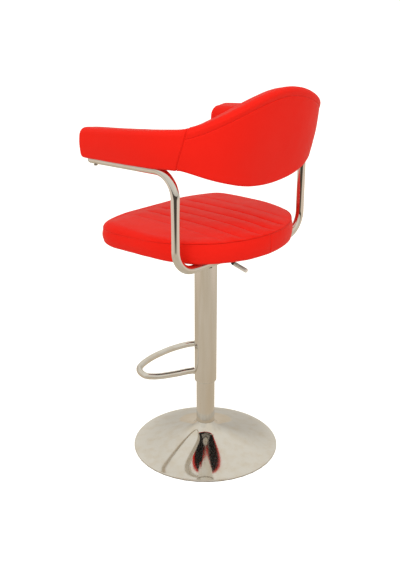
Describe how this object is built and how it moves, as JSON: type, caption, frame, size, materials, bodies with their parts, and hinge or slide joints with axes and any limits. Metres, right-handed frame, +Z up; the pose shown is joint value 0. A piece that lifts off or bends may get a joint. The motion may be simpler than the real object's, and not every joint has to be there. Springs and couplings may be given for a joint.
{
  "type": "adjustable swivel stool",
  "caption": "Swivel stool with padded seat, wraparound back with arms on a bent tube frame, D-shaped footrest, gas lift column and trumpet base.",
  "frame": {"origin": "on the floor, on the column's axis", "axes": "+Z up along the column, -Y towards the front of the seat, +X towards the sitter's left"},
  "size_m": [0.5356, 0.4505, 1.012],
  "materials": {
    "chrome": "polished chrome plate",
    "red_leatherette": "smooth leatherette with a fine grain, satin sheen",
    "black_rubber": "matte moulded rubber",
    "steel": "plain mild steel",
    "zinc": "bright zinc plate",
    "black_plastic": "moulded plastic",
    "plywood": "raw plywood",
    "black_cloth": "non-woven cloth"
  },
  "bodies": {
    "base": {"base_dish": "chrome", "floor_pad": "black_rubber", "base_plate": "steel", "column_flange": "steel", "column_tube": "chrome", "guide_bush": "black_plastic", "base_bolt_1": "zinc", "base_bolt_2": "zinc", "base_bolt_3": "zinc", "base_bolt_4": "zinc", "lower_race": "steel"},
    "swivel": {"ball_cage": "steel", "upper_race": "steel", "piston_rod": "steel", "retaining_clip": "zinc"},
    "seat": {"cover_tube": "chrome", "cover_guide_ring": "black_plastic", "gas_cylinder": "steel", "rod_seal": "black_rubber", "taper_socket": "steel", "footrest_loop": "chrome", "lift_tray": "steel", "tray_bolt_1": "zinc", "tray_bolt_2": "zinc", "tray_bolt_3": "zinc", "tray_bolt_4": "zinc", "seat_board": "plywood", "seat_cushion": "red_leatherette", "dust_cover": "black_cloth", "arm_frame": "chrome", "frame_cap_left": "black_plastic", "frame_cap_right": "black_plastic", "crossbar_bolt_left": "zinc", "crossbar_bolt_right": "zinc", "arm_screw_front_left": "zinc", "arm_screw_front_right": "zinc", "arm_screw_rear_left": "zinc", "arm_screw_rear_right": "zinc", "back_outer_cover": "red_leatherette", "back_inner_pad": "red_leatherette", "back_shell_core": "plywood", "lever_bracket": "steel"},
    "lever": {"lever_rod": "chrome", "lever_hub": "steel", "lever_collar": "black_plastic", "lever_grip": "chrome"},
    "release_pin": {"release_pin": "zinc"}
  },
  "joints": [
    {"name": "swivel_turn", "type": "hinge", "parent": "base", "child": "swivel", "pos_m": [0, 0, 0], "axis": [0, 0, 1], "continuous": true},
    {"name": "height_slide", "type": "slide", "parent": "swivel", "child": "seat", "axis": [0, 0, 1], "range_m": [-0.105, 0.105]},
    {"name": "lever_tilt", "type": "hinge", "parent": "seat", "child": "lever", "pos_m": [0.025, 0.03, 0.591], "axis": [1, 0, 0], "range_deg": [0, 5], "stiffness_Nm_per_rad": 1},
    {"name": "pin_press", "type": "slide", "parent": "seat", "child": "release_pin", "axis": [0, 0, 1], "range_m": [-0.0028, 0]}
  ],
  "couplings": [
    {"joint": "pin_press", "follows": "lever_tilt", "m_per_rad": -0.03}
  ]
}
